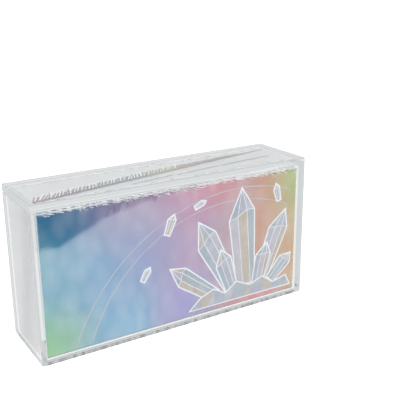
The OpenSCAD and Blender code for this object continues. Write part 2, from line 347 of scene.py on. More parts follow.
def printedMaterial(name, values):
    material, tree, out = newMaterial(name)
    place = objectPlace(tree)
    height = axis(tree, place, "Z")
    flat = put(tree, "ShaderNodeCombineXYZ", {"X": axis(tree, place, "X"), "Y": height}).outputs[0]
    centred = vectorCalc(tree, "SUBTRACT", noiseTexture(tree, place, 22.0, 2.0)["Color"], (0.5, 0.5, 0.5))
    moved = vectorCalc(tree, "MULTIPLY_ADD", centred, (values["drift"], values["drift"], 0.0), flat)
    reach = values["reach"] * mm
    color = colorRamp(tree, mapRange(tree, axis(tree, moved, "X"), -reach, reach, 0.0, 1.0), values["run"])
    for (x, z), (wide, high), tint, strength in values["glows"]:
        color = useGroup(tree, glowGroup, {
            "Color": color, "Vector": moved, "Centre": (x * mm, z * mm, 0.0),
            "Reach": (wide * mm, high * mm, 1.0), "Glow": tint, "Strength": strength,
        })["Color"]
    foil = useGroup(tree, foilGroup, {"Vector": place, "Scale": 70.0, "Twist": 2.5})
    share = mapRange(tree, foil["Mask"], 0.0, 1.0, 0.0, values["swirl"])
    color = mixColor(tree, share, color, values["swirlPale"])
    # soft shell shapes in the foil, and a shade where the board folds under at the foot
    stretched = put(tree, "ShaderNodeMapping", {"Vector": moved, "Scale": values["shellGrid"]}).outputs[0]
    shells = put(tree, "ShaderNodeTexVoronoi", {"Vector": stretched, "Scale": 1.0, "Smoothness": 0.2}, feature="SMOOTH_F1")
    share = mapRange(tree, shells.outputs["Distance"], 0.15, 0.75, values["shells"], 0.0)
    color = vectorCalc(tree, "SUBTRACT", mixColor(tree, share, color, shellPale), (values["deep"],) * 3)
    color = mixColor(tree, mapRange(tree, height, 0.0022, 0.0031, values["foot"], 0.0), color, values["footDark"])
    # the ends stay plain board with painted shade and painted reflection of the film's wrinkles: a darker leaning band
    # and faint darker upright ones
    normal = put(tree, "ShaderNodeNewGeometry").outputs["True Normal"]
    wide = mapRange(tree, calc(tree, "ABSOLUTE", axis(tree, normal, "Y")), 0.30, 0.34, 0.0, 1.0)
    upright = put(tree, "ShaderNodeMapping", {"Vector": place, "Scale": (20.0, 130.0, 6.0)}).outputs[0]
    shadeStripes = mapRange(tree, noiseTexture(tree, upright, 1.0, 1.0)["Fac"], 0.35, 0.65, 0.0, 1.0)
    beside = calc(tree, "ADD", vectorCalc(tree, "DOT_PRODUCT", place, values["lean"]), values["bandFrom"])
    band = mapRange(tree, calc(tree, "ABSOLUTE", beside), 0.0, values["bandWide"], 1.0, 0.0, "SMOOTHSTEP")
    side = values["side"]
    # painted shade: the ends darken to 0.8 in the upright stripes and to 0.4 in the leaning band
    plain = mixColor(tree, band, mixColor(tree, shadeStripes, darker(side, 0.8), side), darker(side, 0.4))
    opaqueFinish(tree, out, mixColor(tree, wide, plain, color), foil, values["rough"], values["metallic"], 0.12, 0.00005)
    return material


boards = {  # colour, roughness, metallic, grain
    "silverBoard": (linear(0.90, 0.905, 0.91), (0.50, 0.37), 0.3, 700.0),
    "paperBoard": (linear(0.84, 0.83, 0.80), (0.83, 0.70), 0.0, 1100.0),
}


def boardMaterial(name, color, rough, metallic, grain):
    material, tree, out = newMaterial(name)
    fibre = useGroup(tree, grainGroup, {"Vector": objectPlace(tree), "Scale": grain})
    shade = mixColor(tree, fibre["Mask"], darker(color, 0.9), color)
    opaqueFinish(tree, out, shade, fibre, rough, metallic, 0.2, 0.00004)
    return material


def inkMaterial(name, tintName, rough, metallic):  # tints come from the piece's own colour attribute
    material, tree, out = newMaterial(name)
    tint = put(tree, "ShaderNodeAttribute", attribute_name=tintName).outputs["Color"]
    foil = useGroup(tree, foilGroup, {"Vector": objectPlace(tree), "Scale": 110.0, "Twist": 1.5})
    color = mixColor(tree, mapRange(tree, foil["Mask"], 0.0, 1.0, 0.0, 0.25), tint, shellPale)
    opaqueFinish(tree, out, color, foil, rough, metallic, 0.1, 0.00004)
    return material


foilPouch = {
    "run": [
        (0.0, linear(0.42, 0.58, 0.74)), (0.35, linear(0.56, 0.55, 0.76)), (0.65, linear(0.70, 0.55, 0.68)),
        (1.0, linear(0.72, 0.62, 0.50)),
    ],
    "crimp": linear(0.80, 0.81, 0.83), "from": 60.0, "metallic": 0.75, "rough": (0.36, 0.24), "bump": 0.35,
}


def pouchMaterial(name, values):  # foil pouch: a run of colour over the cards, plain silver crimps
    material, tree, out = newMaterial(name)
    place = objectPlace(tree)
    x = axis(tree, place, "X")
    foil = useGroup(tree, foilGroup, {"Vector": place, "Scale": 55.0, "Twist": 3.0})
    drift = calc(tree, "MULTIPLY_ADD", foil["Mask"], 0.03, x)
    run = colorRamp(tree, mapRange(tree, drift, -0.055, 0.085, 0.0, 1.0), values["run"])
    bare = mapRange(tree, calc(tree, "ABSOLUTE", x), (values["from"] - 0.4) * mm, values["from"] * mm, 0.0, 1.0)
    color = mixColor(tree, bare, run, values["crimp"])
    opaqueFinish(tree, out, color, foil, values["rough"], values["metallic"], values["bump"], 0.0003)
    return material


packFoil = pouchMaterial("packFoil", foilPouch)
printedBoard = printedMaterial("printedFoilBoard", printed)
silverBoard, paperBoard = (boardMaterial(name, *values) for name, values in boards.items())
motifInk = inkMaterial("motifInk", "tint", (0.45, 0.35), 0.3)
print("materials built")


# the case: five cemented sheets, drawn as one clear shell with fine joint lines
case = {
    "wide": 150.0, "deep": 39.5, "high": 73.2, "wall": 3.0, "base": 2.0, "bevel": 0.4,
    "joint": 0.12,  # half width and depth of a joint line
    "fillet": 0.18,  # cement squeezed into the inner corners
}


def cutRing(wide, deep, cut, z):  # a rectangle with cut corners, anticlockwise from above
    w, d = wide / 2, deep / 2
    half = [(w - cut, -d), (w, -d + cut), (w, d - cut), (w - cut, d)]
    return [(x, y, z) for x, y in half] + [(-x, -y, z) for x, y in half]


def outerRing(inset, z, grooveDepth):
    w, d, c, g = case["wide"] / 2 - inset, case["deep"] / 2 - inset, case["bevel"], case["joint"]
    jointY = case["deep"] / 2 - case["wall"]
    side = [(w, -d + c), (w, -jointY - g), (w - grooveDepth, -jointY), (w, -jointY + g),
            (w, jointY - g), (w - grooveDepth, jointY), (w, jointY + g), (w, d - c)]
    ring = side + [(w - c, d), (-w + c, d)] + [(-x, -y) for x, y in side] + [(-w + c, -d), (w - c, -d)]
    return [(x, y, z) for x, y in ring]


def makeCase():
    g, c, high = case["joint"], case["bevel"], case["high"]
    outside = [outerRing(c, 0.0, 0.0), outerRing(0.0, c, g), outerRing(0.0, high - c, g), outerRing(c, high, 0.0)]
    verts, faces = bridge(outside, closeFirst=False, closeLast=False)
    bm = bmesh.new()
    made = [bm.verts.new(p) for p in verts]
    for face in faces:
        bm.faces.new([made[i] for i in face])
    count = len(outside[0])

    def rect(w, d, z, cut):
        return [bm.verts.new(p) for p in cutRing(2 * w, 2 * d, cut, z)]

    def band(a, b, flip=False):
        for i in range(len(a)):
            j = (i + 1) % len(a)
            quad = [a[i], a[j], b[j], b[i]]
            bm.faces.new(quad[::-1] if flip else quad)

    def annulus(outer, inner, up):  # joins two flat rings of unlike counts
        edges = []
        for ring in (outer, inner):
            for i in range(len(ring)):
                pair = (ring[i], ring[(i + 1) % len(ring)])
                edges.append(bm.edges.get(pair) or bm.edges.new(pair))
        filled = bmesh.ops.triangle_fill(bm, use_beauty=True, edges=edges, normal=(0, 0, 1 if up else -1))
        for face in [f for f in filled["geom"] if isinstance(f, bmesh.types.BMFace)]:
            face.normal_update()
            if (face.normal.z > 0) != up:
                face.normal_flip()

    inW, inD, fillet = case["wide"] / 2 - case["wall"], case["deep"] / 2 - case["wall"], case["fillet"]
    rim = rect(inW, inD, high, fillet)
    annulus(made[3 * count:], rim, True)
    foot = rect(inW, inD, case["base"] + fillet, fillet)
    band(foot, rim, flip=True)
    floor = rect(inW - fillet, inD - fillet, case["base"], 0.02)
    band(floor, foot, flip=True)
    bm.faces.new(floor)
    # underside: the base sheet shows as a line round its edge
    outer = rect(inW + g, inD + g, 0.0, g)
    deep = rect(inW, inD, g, g)
    inner = rect(inW - g, inD - g, 0.0, g)
    annulus(made[:count], outer, False)
    band(deep, outer)
    band(inner, deep)
    bm.faces.new(inner[::-1])
    for vert in bm.verts:
        vert.co *= mm
    mesh = bpy.data.meshes.new("caseShell")
    bm.to_mesh(mesh)
    bm.free()
    mesh.materials.append(clearAcrylic)
    piece = bpy.data.objects.new("caseShell", mesh)
    bpy.context.scene.collection.objects.link(piece)
    return piece


sheets = ("base_panel", "front_panel", "back_panel", "left_end_panel", "right_end_panel")
finishPiece(makeCase(), "case", "clear_acrylic", *sheets)
print("case made")

# the lid: cover sheet with its locating plate, a hair above the rims
lid = {
    "wide": 150.0, "deep": 39.5, "low": 73.2, "high": 77.2, "bevel": 0.4, "gap": 0.03,
    "plateWide": 143.4, "plateDeep": 32.9, "plateLow": 71.7, "plateBevel": 0.5,
}


def makeLid():
    pw, pd, pb = lid["plateWide"], lid["plateDeep"], lid["plateBevel"]
    w, d, b, low, high = lid["wide"], lid["deep"], lid["bevel"], lid["low"] + lid["gap"], lid["high"]
    rings = [cutRing(pw - 2 * pb, pd - 2 * pb, pb, lid["plateLow"])]
    rings += [cutRing(pw, pd, pb, z) for z in (lid["plateLow"] + pb, low)]
    rings += [cutRing(w - 2 * b, d - 2 * b, b, low), cutRing(w, d, b, low + b)]
    rings += [cutRing(w, d, b, high - b), cutRing(w - 2 * b, d - 2 * b, b, high)]
    return makePiece("lidShell", *bridge(rings), [clearAcrylic])


finishPiece(makeLid(), "lid", "clear_acrylic", "lid_plate", "lid_locating_plate")
print("lid made")

# thin lines of cement round the joints that show from outside, thick and thin by turns
beads = {  # body, half width, half depth, height, thickest radius, pitch of the thick places
    "caseCement": ("case", 72.0, 16.75, 0.45, 0.24, 2.2),
    "lidCement": ("lid", 71.66, 16.41, 73.05, 0.03, 9.0),
}


def makeBead(name, halfX, halfY, z, radius, pitch):
    verts, faces = [], []
    corners = [(1, -1), (1, 1), (-1, 1), (-1, -1)]
    for i, (cx, cy) in enumerate(corners):
        nextX, nextY = corners[(i + 1) % 4]
        steps = 40 if cx == nextX else 170
        for k in range(steps):
            t = k / steps
            sx, sy = cx + (nextX - cx) * t, cy + (nextY - cy) * t
            outX, outY = (cx, cy) if k == 0 else (sx if cx == nextX else 0, sy if cy == nextY else 0)
            x, y = sx * halfX, sy * halfY
            swell = noise.noise((x * 1.6 / pitch, y * 1.6 / pitch, z))
            r = radius * min(max(0.5 + 1.5 * swell, 0.12), 1.0)
            for dr, dz in ((r, 0.0), (0.0, r), (-r, 0.0), (0.0, -r)):
                verts.append((x + outX * dr, y + outY * dr, z + dz))
    count = len(verts) // 4
    for i in range(count):
        a, b = 4 * i, 4 * ((i + 1) % count)
        for k in range(4):
            n = (k + 1) % 4
            faces.append((a + k, b + k, b + n, a + n))
    return makePiece(name, verts, faces, [cementMaterial])


for name, (body, *place) in beads.items():
    finishPiece(makeBead(name, *place), body, "clear_acrylic")
print("joints drawn")

# the carton: folded sleeve with round corners, and panels tucked in above and below
carton = {
    "wide": 143.0, "deep": 31.6, "low": 2.2, "high": 71.0, "board": 0.5, "fold": 0.5, "steps": 5,
    "soft": 0.1, "panelSoft": 0.12,  # rounding of the cut edges
    "tongue": 14.0, "tongueRound": 5.0, "curl": 0.05,
}


def roundRing(wide, deep, radius, z):
    points, steps = [], carton["steps"]
    for cx, cy, start in ((1, -1, -90), (1, 1, 0), (-1, 1, 90), (-1, -1, 180)):
        midX, midY = cx * (wide / 2 - radius), cy * (deep / 2 - radius)
        for i in range(steps + 1):
            a = math.radians(start + 90 * i / steps)
            points.append((midX + radius * math.cos(a), midY + radius * math.sin(a), z))
    return points


def makeSleeve():
    t, r, soft = carton["board"], carton["fold"], carton["soft"]
    low, high = carton["low"], carton["high"]

    def ring(inset, radius, z):
        return roundRing(carton["wide"] - 2 * inset, carton["deep"] - 2 * inset, radius, z)

    inner = r - t / 2
    rings = [
        ring(t, inner, high - soft), ring(t, inner, low + soft), ring(t - soft, inner, low), ring(soft, r - soft, low),
        ring(0.0, r, low + soft), ring(0.0, r, high - soft), ring(soft, r - soft, high), ring(t - soft, inner, high),
    ]
    verts, faces = bridge(rings, closeFirst=False, closeLast=False)
    count = len(rings[0])
    last = 7 * count
    faces += [(last + i, last + (i + 1) % count, (i + 1) % count, i) for i in range(count)]
    slots = [1 if f // count in (0, 1, 2, 6, 7) else 0 for f in range(len(faces))]
    piece = makePiece("cartonSleeve", verts, faces, [printedBoard, paperBoard], slots, smooth=True)
    for polygon in piece.data.polygons:  # only the folds are rounded
        polygon.use_smooth = polygon.area < 5e-5
    return piece


def makeTuckPanel(name, upper):
    t, fold, soft = carton["board"], carton["fold"], carton["panelSoft"]
    w, d, r = carton["wide"] - 2 * t, carton["deep"] - 2 * t, fold / 2
    verts, faces = bridge([
        roundRing(w - 2 * soft, d - 2 * soft, r - soft, 0.0), roundRing(w, d, r, soft),
        roundRing(w, d, r, t - soft), roundRing(w - 2 * soft, d - 2 * soft, r - soft, t),
    ])
    slots = [0] * len(faces)
    slots[-2] = 1  # the side that faces the packs is bare paper
    base = len(verts)
    # tongue tucked behind the front wall, with round lower corners and a bend where it leaves the panel
    length, radius = carton["tongue"], carton["tongueRound"]
    wide, front, rows = w / 2 - fold, -d / 2 + 0.15, 13
    for i in range(rows):
        drop = length * i / (rows - 1)
        half = wide
        if drop > length - radius:
            half = wide - radius + math.sqrt(max(radius**2 - (drop - length + radius) ** 2, 0.0))
        z, y = -drop + 0.02, front + carton["curl"] * math.sin(math.pi * i / (rows - 1))
        verts += [(-half, y, z), (half, y, z), (half, y + t, z), (-half, y + t, z)]
    for i in range(rows - 1):
        a, b = base + 4 * i, base + 4 * (i + 1)
        for j in range(4):
            k = (j + 1) % 4
            faces.append((b + j, b + k, a + k, a + j))
            slots.append(0 if j == 0 else 1)
    tip = base + 4 * (rows - 1)
    faces += [tuple(base + j for j in range(4)), tuple(tip + j for j in (3, 2, 1, 0))]
    slots += [1, 1]
    if upper:
        verts = [(x, y, z + carton["high"] - t) for x, y, z in verts]
    else:
        verts = [(x, y, carton["low"] + t - z) for x, y, z in verts]
        faces = [f[::-1] for f in faces]
    return makePiece(name, verts, faces, [silverBoard, paperBoard], slots)


finishPiece(makeSleeve(), "card_box", "printed_board", "carton_sleeve")
finishPiece(makeTuckPanel("tuckPanelTop", True), "card_box", "plain_board", "top_tuck_flap")
finishPiece(makeTuckPanel("tuckPanelBottom", False), "card_box", "plain_board", "bottom_tuck_flap")
for name in ("top_dust_flaps", "bottom_dust_flaps"):
    nodes[name].data.materials.clear()
    nodes[name].data.materials.append(paperBoard)
print("carton made")

# raised print on the wide faces: a cluster of crystals over thin arcs
printing = {
    "face": 15.8, "line": 0.75, "clear": linear(0.93, 0.94, 0.96), "lift": 0.010, "step": 0.005,
    "tints": [
        linear(0.52, 0.59, 0.66), linear(0.58, 0.60, 0.68), linear(0.67, 0.65, 0.70), linear(0.68, 0.61, 0.53),
        linear(0.55, 0.61, 0.64),
    ],
    "crystals": [  # foot x, foot z from the carton's foot, lean from the x axis, length, width
        (30, 11, 118, 44, 13), (49, 11, 68, 40, 12), (39, 10, 94, 54, 16), (20, 8, 143, 34, 10), (55, 9, 44, 19, 8.5),
        (31, 7, 108, 27, 10), (46, 7, 76, 25, 9.5), (-8, 47, 68, 11, 4.5), (60, 53, 104, 10, 4), (-22, 26, 58, 8, 3.5),
        (8, 58, 24, 7, 3),
    ],
    "rock": [(4, 3), (11, 9), (19, 12), (26, 8), (33, 13), (42, 9), (50, 12), (57, 7), (66, 9), (69, 3)], "rockFoot": 3,
    "arcs": [(30, -26, 84, 62, 168), (34, -34, 98, 66, 160)],  # centre x and z, radius, from and to degrees
}


def addSlab(relief, outline, lift, tint):  # a raised flat shape on the front face, anticlockwise as seen from in front
    base, n = len(relief["verts"]), len(outline)
    for depth in (-lift, 0.02):
        relief["verts"] += [(x, -printing["face"] + depth, z + carton["low"]) for x, z in outline]
    sides = [(i, (i + 1) % n) for i in range(n)]
    relief["faces"] += [tuple(range(base, base + n)), tuple(reversed(range(base + n, base + 2 * n)))]
    relief["faces"] += [(base + i, base + n + i, base + n + j, base + j) for i, j in sides]
    relief["tints"] += [tint] * (n + 2)


def addStroke(relief, points, lift, width, tint, closed=False):  # a raised line along points, mitred at its bends
    n = len(points)
    sides = []
    for i, p in enumerate(points):
        before = points[i - 1] if i or closed else p
        after = points[(i + 1) % n] if i < n - 1 or closed else p
        normals = []
        for a, b in ((before, p), (p, after)):
            dx, dz = b[0] - a[0], b[1] - a[1]
            size = math.hypot(dx, dz)
            if size > 1e-6:
                normals.append((-dz / size, dx / size))
        nx, nz = sum(q[0] for q in normals), sum(q[1] for q in normals)
        size = math.hypot(nx, nz) or 1.0
        nx, nz = nx / size, nz / size
        grow = min(1.0 / max(nx * normals[0][0] + nz * normals[0][1], 0.35), 2.2) * width / 2
        sides.append(((p[0] - nx * grow, p[1] - nz * grow), (p[0] + nx * grow, p[1] + nz * grow)))
    for i in range(n if closed else n - 1):
        a, b = sides[i], sides[(i + 1) % n]
        addSlab(relief, [a[0], b[0], b[1], a[1]], lift, tint)


def crystalShape(x, z, lean, length, width):
    a = math.radians(lean)
    ax, az = math.cos(a), math.sin(a)

    def at(s, t):  # t runs to the right of the lean, so corners go round anticlockwise
        return x + ax * s * length + az * t * width, z + az * s * length - ax * t * width

    outline = [at(0, -0.36), at(0, 0.36), at(0.76, 0.5), at(1.0, 0.06), at(0.70, -0.5)]
    ridgeA, ridgeB = at(0, -0.1), at(0.72, -0.16)
    ridgeC, ridgeD = at(0, 0.2), at(0.77, 0.2)
    facets = [
        [outline[0], ridgeA, ridgeB, outline[4]], [ridgeA, ridgeC, ridgeD, ridgeB], [ridgeC, outline[1], outline[2], ridgeD],
        [outline[4], ridgeB, outline[3]], [ridgeB, ridgeD, outline[3]], [ridgeD, outline[2], outline[3]],
    ]
    ridges = [[ridgeA, ridgeB, outline[3]], [ridgeC, ridgeD, outline[3]], [outline[4], ridgeB, ridgeD, outline[2]]]
    return outline, facets, ridges


def drawPrint(name, scale, shiftX, shiftZ, turned):
    relief = {"verts": [], "faces": [], "tints": []}
    line, clear, tints = printing["line"], printing["clear"], printing["tints"]

    def move(points):
        return [(x * scale + shiftX, z * scale + shiftZ) for x, z in points]

    for x, z, radius, start, stop in printing["arcs"]:
        angles = [math.radians(start + (stop - start) * i / 40) for i in range(41)]
        points = [(x + radius * math.cos(a), z + radius * math.sin(a)) for a in angles]
        addStroke(relief, move([p for p in points if -68 < p[0] < 68 and 2 < p[1] < 65.5]), 0.006, line * 0.6, tints[2])
    lift = printing["lift"]
    for index, crystal in enumerate(printing["crystals"]):
        outline, facets, ridges = crystalShape(*crystal)
        for k, facet in enumerate(facets):
            addSlab(relief, move(facet), lift, tints[(index + k) % 5])
        for ridge in ridges:
            addStroke(relief, move(ridge), lift + 0.002, line * 0.45, clear)
        addStroke(relief, move(outline), lift + 0.003, line, clear, closed=True)
        lift += printing["step"]
    rock, foot = printing["rock"], printing["rockFoot"]
    for i in range(len(rock) - 1):
        middle = ((rock[i][0] + rock[i + 1][0]) / 2, foot)
        shape = [middle, rock[i + 1], rock[i]]
        if i:
            shape.insert(0, (rock[i][0], foot))
        addSlab(relief, move(shape), lift, tints[(i * 2 + 1) % 5])
        if i < len(rock) - 2:
            addSlab(relief, move([middle, (rock[i + 1][0], foot), rock[i + 1]]), lift, tints[(i * 2) % 5])
    addStroke(relief, move(rock), lift + 0.003, line, clear, closed=True)

    piece = makePiece(name, relief["verts"], relief["faces"], [motifInk])
    layer = piece.data.color_attributes.new("tint", "FLOAT_COLOR", "CORNER")
    corners = []
    for polygon, tint in zip(piece.data.polygons, relief["tints"]):
        corners += list(tint) * polygon.loop_total
    layer.data.foreach_set("color", corners)
    if turned:
        piece.data.transform(Matrix.Rotation(math.pi, 4, "Z"))
    return piece


prints = {  # scale, shift in x and z, turned to the back
    "printFront": (1.0, 0.0, 0.0, False),
    "printBack": (0.62, -22.0, 12.0, True),
}
for name, values in prints.items():
    finishPiece(drawPrint(name, *values), "card_box", "printed_board")
print("print drawn")

# the film: a thin closed skin, creased along its edges and at its corners
filmShape = {
    "wide": 143.4, "deep": 32.0, "low": 2.0, "high": 71.2, "radius": 0.55, "thick": 0.08,
    "crease": 0.2, "reach": 3.2, "corner": 0.16, "cornerReach": 5.0, "wave": 0.05,
    "grid": ((0.8, 0.95, 5), (0.7, 0.95, 5), (0.6, 1.9, 8)),  # in x, y and z: fine step, coarse step, width of the fine part
}


def gridLines(low, high, fine, coarse, band):
    size = high - low
    left = [0.0, 0.2, 0.38, 0.55, 0.8]
    while left[-1] < band:
        left.append(left[-1] + fine)
    middle = size - 2 * left[-1]
    count = max(int(round(middle / coarse)), 1)
    places = left + [left[-1] + middle * i / count for i in range(1, count)] + [size - p for p in reversed(left)]
    return [low + p for p in places]


def creaseAt(p, n):
    v = filmShape
    halfX, halfY = v["wide"] / 2, v["deep"] / 2
    toX, toY = halfX - abs(p.x), halfY - abs(p.y)
    toZ = min(p.z - v["low"], v["high"] - p.z)
    if abs(n.y) > max(abs(n.x), abs(n.z)):
        pairs = ((p.x, toZ, 1.0), (p.z, toX, 0.6))
        corner = (toX, toZ)
    elif abs(n.z) > abs(n.x):
        pairs = ((p.x, toY, 1.0), (p.y, toX, 0.7))
        corner = (toX, toY)
    else:
        pairs = ((p.y, toZ, 0.8), (p.z, toY, 0.6))
        corner = (toY, toZ)
    seed = 3.1 * math.copysign(1, n.x) + 5.3 * math.copysign(1, n.y) + 7.7 * math.copysign(1, n.z)
    height = 0.0
    for s, t, share in pairs:
        reach = v["reach"] * (1.0 + 0.8 * noise.noise((s * 0.21, seed, 1.7)))
        ridge = noise.noise((s * 0.85, t * 0.12, seed))
        height += share * v["crease"] * max(ridge, 0.0) * 1.6 * math.exp(-t / max(reach, 0.6))
    r = math.hypot(*corner)
    angle = math.atan2(corner[1], corner[0])
    height += v["corner"] * math.exp(-r / v["cornerReach"]) * max(noise.noise((angle * 5.0, seed, 4.2)), 0.0) * 2.0
    height += v["wave"] * (0.5 + 0.5 * noise.noise((p.x * 0.06, p.y * 0.06, p.z * 0.06)))
    return height


def makeFilm():
    v = filmShape
    r = v["radius"]
    ends = [(-v["wide"] / 2, v["wide"] / 2), (-v["deep"] / 2, v["deep"] / 2), (v["low"], v["high"])]
    lines = [gridLines(low, high, *steps) for (low, high), steps in zip(ends, v["grid"])]
    index, verts, faces = {}, [], []

    def at(key):
        if key not in index:
            p = Vector([lines[c][key[c]] for c in range(3)])
            core = Vector([min(max(p[c], ends[c][0] + r), ends[c][1] - r) for c in range(3)])
            n = (p - core).normalized()
            q = core + n * r
            index[key] = len(verts)
            verts.append(tuple(q + n * creaseAt(q, n)))
        return index[key]

    for fixed, u, w in ((1, 0, 2), (2, 0, 1), (0, 1, 2)):
        for side in (0, len(lines[fixed]) - 1):
            for i in range(len(lines[u]) - 1):
                for k in range(len(lines[w]) - 1):
                    quad = []
                    for stepU, stepW in ((0, 0), (1, 0), (1, 1), (0, 1)):
                        key = [side] * 3
                        key[u], key[w] = i + stepU, k + stepW
                        quad.append(at(tuple(key)))
                    faces.append(quad if (side == 0) == (fixed == 1) else quad[::-1])
    piece = makePiece("filmSkin", verts, faces, [clearFilm], smooth=True)
    skin = piece.modifiers.new("thickness", "SOLIDIFY")
    skin.thickness = v["thick"] * mm
    skin.offset = -1.0
    settle(piece)
    return piece


filmSkin = makeFilm()
finishPiece(filmSkin, "card_box", "clear_film", "film_wrap")
print("film made with", len(filmSkin.data.polygons), "faces")

# the welded seam across the top of the film, with its row of pleats
seamShape = {
    "start": (-70.7, -13.0, 71.2), "turn": 10.0, "length": 143.4, "wide": 2.5, "thick": 0.24, "thinFrom": 112.0,
}
pleats = {
    "Count": 41, "Pitch": 2.0, "Length": 7.8, "Thickness": 0.52, "Lean": -37.0, "Wander": 0.12, "Jitter": 0.35,
    "Shortest": 0.7, "Flatness": 0.34, "Seed": 4,
}
palePleats = dict(pleats, Length=8.4, Thickness=0.312, Seed=5)

pleatTree, gIn, gOut = newGroup("pleatRow", "GeometryNodeTree", {
    "Count": 40, "Pitch": 0.002, "Length": 0.004, "Thickness": 0.0003, "Lean": 0.6, "Wander": 0.1, "Jitter": 0.0,
    "Shortest": 0.8, "Flatness": 0.4, "Seed": 1, "Material": "Material",
}, {"Geometry": "Geometry"})


def alongAxis(letter, value):
    return put(pleatTree, "ShaderNodeCombineXYZ", {letter: value}).outputs[0]


def randomValue(low, high, seed):
    return put(pleatTree, "FunctionNodeRandomValue", {2: low, 3: high, "Seed": seed}, data_type="FLOAT").outputs[1]


# points along the seam, a little out of step
row = put(pleatTree, "GeometryNodeMeshLine", {"Count": gIn["Count"], "Offset": alongAxis("X", gIn["Pitch"])}, mode="OFFSET")
stray = alongAxis("X", calc(pleatTree, "MULTIPLY", randomValue(-1.0, 1.0, gIn["Seed"]), gIn["Jitter"]))
row = put(pleatTree, "GeometryNodeSetPosition", {"Geometry": row.outputs[0], "Offset": stray})
# one pleat, thinner towards its tip
line = put(pleatTree, "GeometryNodeCurvePrimitiveLine", {"End": alongAxis("Y", gIn["Length"])})
fine = put(pleatTree, "GeometryNodeResampleCurve", {"Curve": line.outputs[0], "Count": 7})
along = put(pleatTree, "GeometryNodeSplineParameter").outputs["Factor"]
taper = mapRange(pleatTree, along, 0.0, 1.0, 1.0, 0.25)
shaped = put(pleatTree, "GeometryNodeSetCurveRadius", {"Curve": fine.outputs[0], "Radius": taper})
section = put(pleatTree, "GeometryNodeCurvePrimitiveCircle", {"Resolution": 8, "Radius": gIn["Thickness"]})
pleat = put(pleatTree, "GeometryNodeCurveToMesh", {
    "Curve": shaped.outputs[0], "Profile Curve": section.outputs[0], "Fill Caps": True,
})
# pleats on the points, each with its own lean and length
angle = calc(pleatTree, "MULTIPLY_ADD", randomValue(-1.0, 1.0, 7), gIn["Wander"], gIn["Lean"])
size = put(pleatTree, "ShaderNodeCombineXYZ", {
    "X": 1.0, "Y": randomValue(gIn["Shortest"], 1.05, gIn["Seed"]), "Z": gIn["Flatness"],
})
placed = put(pleatTree, "GeometryNodeInstanceOnPoints", {
    "Points": row.outputs[0], "Instance": pleat.outputs[0], "Rotation": alongAxis("Z", angle), "Scale": size.outputs[0],
})
real = put(pleatTree, "GeometryNodeRealizeInstances", {0: placed.outputs[0]})
smooth = put(pleatTree, "GeometryNodeSetShadeSmooth", {0: real.outputs[0]})
dressed = put(pleatTree, "GeometryNodeSetMaterial", {0: smooth.outputs[0], "Material": gIn["Material"]})
pleatTree.links.new(dressed.outputs[0], gOut["Geometry"])


def shiftBy(x, y, z):
    return Matrix.Translation(Vector((x, y, z)) * mm)


def seamMatrix():
    return shiftBy(*seamShape["start"]) @ Matrix.Rotation(math.radians(seamShape["turn"]), 4, "Z")


def addRow(name, material, matrix, values):  # runs the pleat tree and keeps its plain mesh
    lengths = {key: values[key] * mm for key in ("Pitch", "Length", "Thickness", "Jitter")}
    inputs = dict(values, Lean=math.radians(values["Lean"]), Material=material, **lengths)
    piece = bpy.data.objects.new(name, bpy.data.meshes.new(name))
    bpy.context.scene.collection.objects.link(piece)
    modifier = piece.modifiers.new("nodes", "NODES")
    modifier.node_group = pleatTree
    for item in pleatTree.interface.items_tree:
        if item.item_type == "SOCKET" and item.in_out == "INPUT" and item.name in inputs:
            modifier[item.identifier] = inputs[item.name]
    settle(piece)
    piece.data.transform(matrix)
    finishPiece(piece, "card_box", "clear_film")


# the dark row carries the weld's painted reflection and painted shade, the pale row is painted highlight
addRow("filmPleatsDark", weldedFilm, seamMatrix() @ shiftBy(0.4, 1.6, 0.16), pleats)
addRow("filmPleatsPale", gatheredFilm, seamMatrix() @ shiftBy(1.6, 2.2, 0.2), palePleats)

# loose creases gathered along the front and back edges of the film, painted highlight and painted shade by turns (white
# and grey film)
creases = {
    "Count": 52, "Pitch": 2.6, "Length": 4.2, "Thickness": 0.13, "Lean": -84.0, "Wander": 0.22, "Jitter": 1.2,
    "Shortest": 0.25, "Flatness": 0.5, "Seed": 11,
}
creaseRows = [  # name, left end, hangs down the face, own values
    ("creaseEdge", (-70.0, -15.65, 71.35), False, {}),
    ("creaseFold", (-69.0, -12.90, 71.32), False,
     {"Lean": -86.0, "Wander": 0.2, "Count": 40, "Pitch": 3.4, "Length": 5.0}),
    ("creaseFace", (-70.0, -16.10, 70.85), True, {"Lean": -80.0, "Shortest": 0.2}),
    ("creaseDrop", (-69.0, -16.12, 70.95), True,
     {"Lean": -35.0, "Wander": 0.5, "Length": 1.6, "Count": 34, "Pitch": 4.1}),
]
creaseTones = [("Pale", gatheredFilm, 0.0, 1.0), ("Dark", shadedFilm, 1.3, 0.8)]  # shift along x, share of the thickness
for side, turned in (("Front", 0.0), ("Back", math.pi)):
    for index, (name, place, hangs, values) in enumerate(creaseRows):
        if side == "Back" and name == "creaseFold":  # the back of the top lies smooth
            continue
        matrix = shiftBy(*place) @ Matrix.Rotation(-math.pi / 2 if hangs else 0.0, 4, "X")
        for step, (tone, material, shift, share) in enumerate(creaseTones):
            thin = {"Thickness": creases["Thickness"] * share, "Seed": creases["Seed"] + 5 * index + step}
            turn = Matrix.Rotation(turned, 4, "Z") @ shiftBy(shift, 0.0, 0.0)
            addRow(name + side + tone, material, turn @ matrix, dict(creases, **values, **thin))


